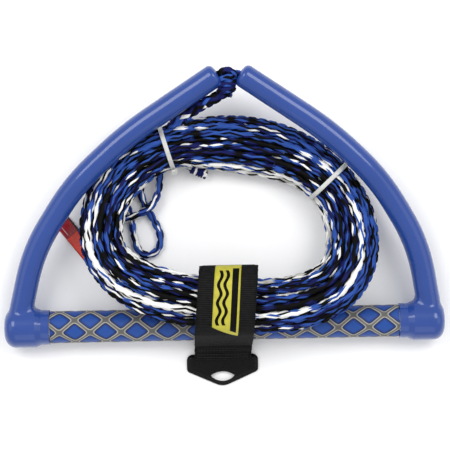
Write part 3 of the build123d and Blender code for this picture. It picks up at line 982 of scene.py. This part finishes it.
def label_wave(name, centre_share, width=2.7, swing=1.3, waves=3):
    """A plain wavy line along the label's field."""
    rows = 96
    rings = []
    for i in range(rows + 1):
        t = i / rows
        y = (LABEL_TOP - 4.0) * (1 - t) + (LABEL_LOW_LEFT + 1.4) * t
        left = -5.2 * (1 - t) - 8.8 * t
        right = 6.4 * (1 - t) + 2.6 * t
        middle = left + (right - left) * centre_share
        x = middle + swing * math.sin(2 * math.pi * waves * t)
        ring = []
        for level in (1, -1):
            for side in (-0.5, 0.5)[::level]:
                point = on_front(front_s(y * MM), 0, 0.38 * MM + (0.14 * MM if level > 0 else 0))
                ring.append(((x + side * width) * MM, point[1], point[2]))
        rings.append(ring)
    return ring_mesh(name, rings, [LABEL_BLACK])


label += [label_wave("label_wave_0", 0.27), label_wave("label_wave_1", 0.73)]
strap_label = join("strap_label_patch", label)
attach(strap_label, "handle")
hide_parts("strap_label")


# ---- tab -------------------------------------------------
def rounded_outline(corners, spacing):
    """A closed outline with rounded corners; corners are (x, y, radius)."""
    points = []
    count = len(corners)
    for i, (x, y, radius) in enumerate(corners):
        here = np.array([x, y])
        before = np.array(corners[i - 1][:2]) - here
        after = np.array(corners[(i + 1) % count][:2]) - here
        before /= np.linalg.norm(before)
        after /= np.linalg.norm(after)
        half_angle = math.acos(max(-1, min(1, before.dot(after)))) / 2
        inset = radius / math.tan(half_angle)
        middle = (before + after) / np.linalg.norm(before + after)
        centre = here + middle * radius / math.sin(half_angle)
        first, last = here + before * inset - centre, here + after * inset - centre
        start = math.atan2(first[1], first[0])
        sweep = (math.atan2(last[1], last[0]) - start + math.pi) % (2 * math.pi) - math.pi
        for t in np.linspace(0, 1, 9):
            angle = start + sweep * t
            points.append(centre + radius * np.array([math.cos(angle), math.sin(angle)]))
    return even_points(np.array(points), spacing, closed=True)


def inset_outline(outline, distance):
    """Moves a counter-clockwise outline inwards, or a clockwise one outwards."""
    return outline - normals_of(outline, closed=True) * distance


def plate(name, outline, hole, edge, rim, materials):
    """A moulded plate with a hole; edge and rim are (inset, z) steps up from the underside."""
    verts = []
    faces = []

    def walls(line, steps):
        loops = []
        for inset, z in steps:
            loops.append(len(verts))
            verts.extend((x, y, z) for x, y in inset_outline(line, inset))
        count = len(line)
        for low, high in zip(loops, loops[1:]):
            for k in range(count):
                nxt = (k + 1) % count
                faces.append((low + k, low + nxt, high + nxt, high + k))

    walls(outline, edge)
    walls(hole[::-1], rim)
    piece = make_piece(name, verts, faces, materials)

    def fill_faces(bm):
        for level in (edge[0][1], edge[-1][1]):
            loops = [e for e in bm.edges if e.is_boundary
                     and all(abs(v.co.z - level) < 1e-6 for v in e.verts)]
            filled = bmesh.ops.triangle_fill(bm, use_beauty=True, edges=loops)
            for face in filled["geom"]:
                if isinstance(face, bmesh.types.BMFace):
                    face.smooth = False

    edit(piece, fill_faces)
    return piece


TAB_PLASTIC = mottled("tab_moulding", (0.004, 0.004, 0.0045), 0.30, 0.2, 120.0, 1500.0, 0.00004,
                      Specular_IOR_Level=0.13)
TAB_X = -2.5                 # the tab's outline is in mm
TAB_HALF_WIDTH = 31.2
TAB_SIDE_Y = -42.2
TAB_SEWN_Y = -27.5
tab_corners = [(TAB_X - TAB_HALF_WIDTH, TAB_SIDE_Y, 3.5), (TAB_X, -56.0, 14.0),
               (TAB_X + TAB_HALF_WIDTH, TAB_SIDE_Y, 3.5),
               (TAB_X + TAB_HALF_WIDTH, TAB_SEWN_Y, 5.0),
               (TAB_X - TAB_HALF_WIDTH, TAB_SEWN_Y, 5.0)]
tab_outline = rounded_outline(tab_corners, 0.9) * MM


def arc_points(first, middle, last, count):
    """Points of the circle through three points, from the first to the last."""
    (ax, ay), (bx, by), (cx, cy) = first, middle, last
    d = 2 * (ax * (by - cy) + bx * (cy - ay) + cx * (ay - by))
    ux = ((ax ** 2 + ay ** 2) * (by - cy) + (bx ** 2 + by ** 2) * (cy - ay)
          + (cx ** 2 + cy ** 2) * (ay - by)) / d
    uy = ((ax ** 2 + ay ** 2) * (cx - bx) + (bx ** 2 + by ** 2) * (ax - cx)
          + (cx ** 2 + cy ** 2) * (bx - ax)) / d
    radius = math.hypot(ax - ux, ay - uy)
    start = math.atan2(ay - uy, ax - ux)
    sweep = (math.atan2(cy - uy, cx - ux) - start + math.pi) % (2 * math.pi) - math.pi
    return [(ux + radius * math.cos(start + sweep * t), uy + radius * math.sin(start + sweep * t))
            for t in np.linspace(0, 1, count)]


HOLE_Y, HOLE_HALF = -46.0, 10.6
hole_left, hole_right = (TAB_X - HOLE_HALF, HOLE_Y), (TAB_X + HOLE_HALF, HOLE_Y)
lower = arc_points(hole_left, (TAB_X, HOLE_Y - 4.9), hole_right, 24)
upper = arc_points(hole_right, (TAB_X, HOLE_Y + 3.6), hole_left, 24)
hole_outline = soften(even_points(np.array(lower[:-1] + upper[:-1]), 0.7, closed=True), 2) * MM
tab_top = FLOOR_Z + TAB_THICK
hang_tab = plate(
    "hang_tab_moulding", tab_outline, hole_outline,
    [(0.5 * MM, FLOOR_Z), (0, FLOOR_Z + 0.5 * MM), (0, tab_top - 2.2 * MM),
     (0.25 * MM, tab_top - 1.9 * MM), (2.6 * MM, tab_top - 0.35 * MM),
     (2.9 * MM, tab_top - 0.3 * MM), (3.2 * MM, tab_top - 0.6 * MM), (3.5 * MM, tab_top - 0.6 * MM)],
    [(0, FLOOR_Z), (0, tab_top - 0.7 * MM), (0.1 * MM, tab_top - 0.6 * MM)],
    [TAB_PLASTIC])
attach(hang_tab, "tab")
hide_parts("hang_tab")

# ---- tag -------------------------------------------------
TAG_START = np.array([-141.0, 92.0]) * MM
TAG_END = np.array([-113.0, 56.5]) * MM
TAG_WIDTH = 14.0 * MM
# The tag's body is dark red: partly the tag's own darker red, and partly painted shade from the arm
# where the bright panel leaves it bare at the upper end.
TAG_DARK_AND_SHADE = mottled("tag_dark_red_painted_shade", (0.30, 0.012, 0.016), 0.25, 0.12, 90.0, 900.0,
                   0.00003, Coat_Weight=0.3)
TAG_BRIGHT = mottled("tag_bright_red", (0.78, 0.045, 0.02), 0.25, 0.1, 90.0, 900.0,
                     0.00003, Coat_Weight=0.3)
# A pale line painted along the tag's upper end: a painted highlight of the glossy vinyl.
TAG_HIGHLIGHT_LINE = mottled("tag_painted_highlight_line", (0.62, 0.42, 0.42), 0.3, 0.1, 200.0, 900.0, 0.00002)
TAG_BORDER = mottled("tag_border", (0.012, 0.011, 0.012), 0.35, 0.2, 200.0, 900.0, 0.00003)


def tag_strip(name, w_from, w_to, l_from, l_to, lift, thick, material):
    """A thin layer of the tag, between shares of its width and lengths along it."""
    run = TAG_END - TAG_START
    length = np.linalg.norm(run)
    along = run / length
    across = np.array([-along[1], along[0]])
    rings = []
    for s in np.linspace(l_from, l_to, 25):
        wave = 0.5 * MM * math.sin(math.pi * s / length) ** 2
        base = TAG_START + along * s
        ring = []
        for level in (1, -1):
            for w in np.linspace(w_from, w_to, 7)[::level]:
                p = base + across * w * TAG_WIDTH
                z = FLOOR_Z + 0.4 * MM + wave + lift + (thick if level > 0 else 0)
                ring.append((p[0], p[1], z))
        rings.append(ring)
    return ring_mesh(name, rings, [material])


tag_length = float(np.linalg.norm(TAG_END - TAG_START))
tag_body = join("tag_strip_vinyl", [
    tag_strip("tag_body", -0.5, 0.5, 0, tag_length, 0, 0.6 * MM, TAG_DARK_AND_SHADE),
    tag_strip("tag_edge", 0.40, 0.5, 0, tag_length, 0.5 * MM, 0.35 * MM, TAG_BORDER),
    # the pale line is a painted highlight
    tag_strip("tag_painted_highlight_strip", -0.28, -0.24, 0, 13 * MM, 0.5 * MM, 0.2 * MM, TAG_HIGHLIGHT_LINE)])
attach(tag_body, "handle")
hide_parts("tag_strip")
tag_panel = tag_strip("tag_panel_print", -0.46, 0.38, 15.5 * MM, 41 * MM, 0.55 * MM, 0.25 * MM,
                      TAG_BRIGHT)
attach(tag_panel, "handle")
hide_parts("tag_panel")

# ---- grip sleeve -----------------------------------------
HELICES = 4
NODE_STEP = 26.7 * MM        # from crossing to crossing along the grip
NODE_X = -9.0 * MM           # one crossing, and its angle round the grip from +Y
NODE_ANGLE = math.radians(18.3)
RIDGE_HALF = 1.8             # the rest of the lattice's sizes are in millimetres too
RIDGE_HEIGHT = 0.45
CORNER = 2.0
RISE_AT, RISE_RUN = -0.15, 0.75
GROOVE_AT, GROOVE_RUN, GROOVE_DEPTH = 1.15, 0.9, 0.16
LATTICE_SPAN = 12            # the colour attribute goes from 0 to 1 over this
# rows of points lie at these shares of a diamond's side, closer together at the ridges
STEPS = [0, .035, .065, .088, .107, .130, .165, .28, .5, .72, .835, .87, .893, .912, .935, .965]


def grip_material():
    """Satin blue rubber diamonds, dark at their edges, between pale-edged grey ridges."""
    material, tree, shader = new_material("grip_rubber", (0.04, 0.1, 0.4), 0.42,
                                          Specular_IOR_Level=0.25)
    edge = tree.nodes.new("ShaderNodeAttribute")
    edge.attribute_name = "lattice"
    soft = math_node(tree, "MULTIPLY_ADD", noise(tree, 260.0), 0.03, edge.outputs["Fac"])
    blue, deep, rim, pale, grey, dark = ((0.014, 0.064, 0.29), (0.009, 0.033, 0.17),
                                         (0.014, 0.016, 0.034), (0.37, 0.36, 0.33),
                                         (0.175, 0.17, 0.155), (0.11, 0.108, 0.10))
    shade = ramp(tree, soft,
                 [(0.30, blue), (0.455, deep), (0.50, rim), (0.525, rim), (0.548, pale),
                  (0.575, pale), (0.61, grey), (0.66, dark)])
    tree.links.new(shade, shader.inputs["Base Color"])
    add_bump(tree, shader, noise(tree, 1400.0, 4.0), 0.4, 0.00006)
    return material


def grip_sleeve_mesh():
    """The sleeve with its lattice of ridges, laid out along the two families of helices."""
    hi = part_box("grip_sleeve")[1]
    half, radius = hi.x, hi.z
    side = math.hypot(NODE_STEP / 2, 2 * math.pi * radius / (2 * HELICES))
    width = NODE_STEP * (2 * math.pi * radius / HELICES) / 2 / side / MM
    reach = int(half / NODE_STEP * 2) + 2
    p_values = [i + f for i in range(-reach, reach + HELICES + 1) for f in STEPS]
    q_values = [j + f for j in range(HELICES) for f in STEPS] + [HELICES]
    verts = []
    edges = []
    for p in p_values:
        for q in q_values:
            a = abs(p % 1 - 0.5) * width
            b = abs(q % 1 - 0.5) * width
            box = width / 2 - RIDGE_HALF - CORNER
            da, db = a - box, b - box
            edge = math.hypot(max(da, 0), max(db, 0)) + min(max(da, db), 0) - CORNER
            rise = min(max((edge - RISE_AT) / RISE_RUN, 0), 1)
            groove = min(max((edge - GROOVE_AT) / GROOVE_RUN, 0), 1)
            height = RIDGE_HEIGHT * rise ** 2 * (3 - 2 * rise)
            height -= GROOVE_DEPTH * groove ** 2 * (3 - 2 * groove)
            angle = NODE_ANGLE + 2 * math.pi * (p + q) / (2 * HELICES)
            x = min(max(NODE_X + NODE_STEP * (p - q) / 2, -half), half)
            r = radius + height * MM
            verts.append((x, r * math.cos(angle), r * math.sin(angle)))
            edges.append(min(max(0.5 + edge / LATTICE_SPAN, 0), 1))
    faces = []
    row = len(q_values)
    for i in range(len(p_values) - 1):
        for j in range(row - 1):
            corners = [i * row + j, i * row + j + 1, (i + 1) * row + j + 1, (i + 1) * row + j]
            if any(abs(verts[c][0]) < half - 1e-7 for c in corners):
                faces.append(corners)
    sleeve = make_piece("grip_sleeve_rubber", verts, faces, [grip_material()])
    lattice = sleeve.data.attributes.new("lattice", "FLOAT", "POINT")
    lattice.data.foreach_set("value", edges)

    def clean(bm):
        bmesh.ops.remove_doubles(bm, verts=bm.verts, dist=2e-6)
        bmesh.ops.dissolve_degenerate(bm, edges=bm.edges, dist=1e-6)
        loose = [v for v in bm.verts if not v.link_faces]
        bmesh.ops.delete(bm, geom=loose, context="VERTS")

    edit(sleeve, clean)
    return sleeve


grip_sleeve = grip_sleeve_mesh()
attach(grip_sleeve, "grip_bar")
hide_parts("grip_sleeve")

# ---- materials of the CAD nodes that stay ----------------
ARM_VINYL = mottled("arm_vinyl", (0.016, 0.054, 0.256), 0.30, 0.05, 22.0, 260.0, 0.00002,
                    Specular_IOR_Level=0.15, Coat_Weight=0.75, Coat_Roughness=0.06)
ALUMINIUM = mottled("tube_aluminium", (0.75, 0.76, 0.78), 0.32, 0.05, 80.0, 1800.0, 0.00003,
                    Metallic=1.0)
PLUG = mottled("plug_plastic", (0.82, 0.82, 0.79), 0.5, 0.04, 80.0, 1200.0, 0.00004)
FOAM = mottled("core_foam", (0.86, 0.85, 0.80), 0.95, 0.08, 500.0, 900.0, 0.0004)
YOKE_CORD = mottled("yoke_cord", (0.02, 0.03, 0.14), 0.6, 0.6, 420.0, 1500.0, 0.0004)
for node, finish in (("left_arm_boot", ARM_VINYL), ("right_arm_boot", ARM_VINYL),
                     ("grip_tube", ALUMINIUM), ("left_tube_plug", PLUG), ("right_tube_plug", PLUG),
                     ("tube_foam_core", FOAM), ("yoke_rope", YOKE_CORD)):
    mesh = frame["nodes"][node].data
    mesh.materials.clear()
    mesh.materials.append(finish)

# ---- floor and light -------------------------------------
floor_material = mottled("floor_paint", (0.95, 0.95, 0.95), 0.7, 0.01, 8.0, 400.0, 0.00001)
FLOOR_HALF = 3.0
floor = make_piece("floor", [(x * FLOOR_HALF, y * FLOOR_HALF, FLOOR_Z)
                             for x, y in ((-1, -1), (1, -1), (1, 1), (-1, 1))],
                   [(0, 1, 2, 3)], [floor_material], smooth=False)


LIGHT_AIM = Vector((0, 0.08, 0))


def area_light(name, at, size, energy):
    data = bpy.data.lights.new(name, "AREA")
    data.shape = "DISK"
    data.size = size
    data.energy = energy
    light = bpy.data.objects.new(name, data)
    light.location = at
    light.rotation_euler = (LIGHT_AIM - Vector(at)).to_track_quat("-Z", "Y").to_euler()
    bpy.context.collection.objects.link(light)


area_light("left_key", (-1.00, 0.95, 1.8), 1.15, 16)
area_light("right_key", (1.00, 0.95, 1.8), 1.15, 16)
area_light("left_fill", (-1.9, 0.2, 1.5), 1.6, 4)
area_light("right_fill", (1.9, 0.0, 1.5), 1.6, 4)
area_light("front_fill", (0.0, -1.8, 1.3), 1.6, 4)
world = bpy.data.worlds.new("studio")
world.use_nodes = True
world.node_tree.nodes["Background"].inputs["Color"].default_value = (1, 1, 1, 1)
world.node_tree.nodes["Background"].inputs["Strength"].default_value = 0.78
bpy.context.scene.world = world
bpy.context.scene.view_settings.view_transform = "Standard"
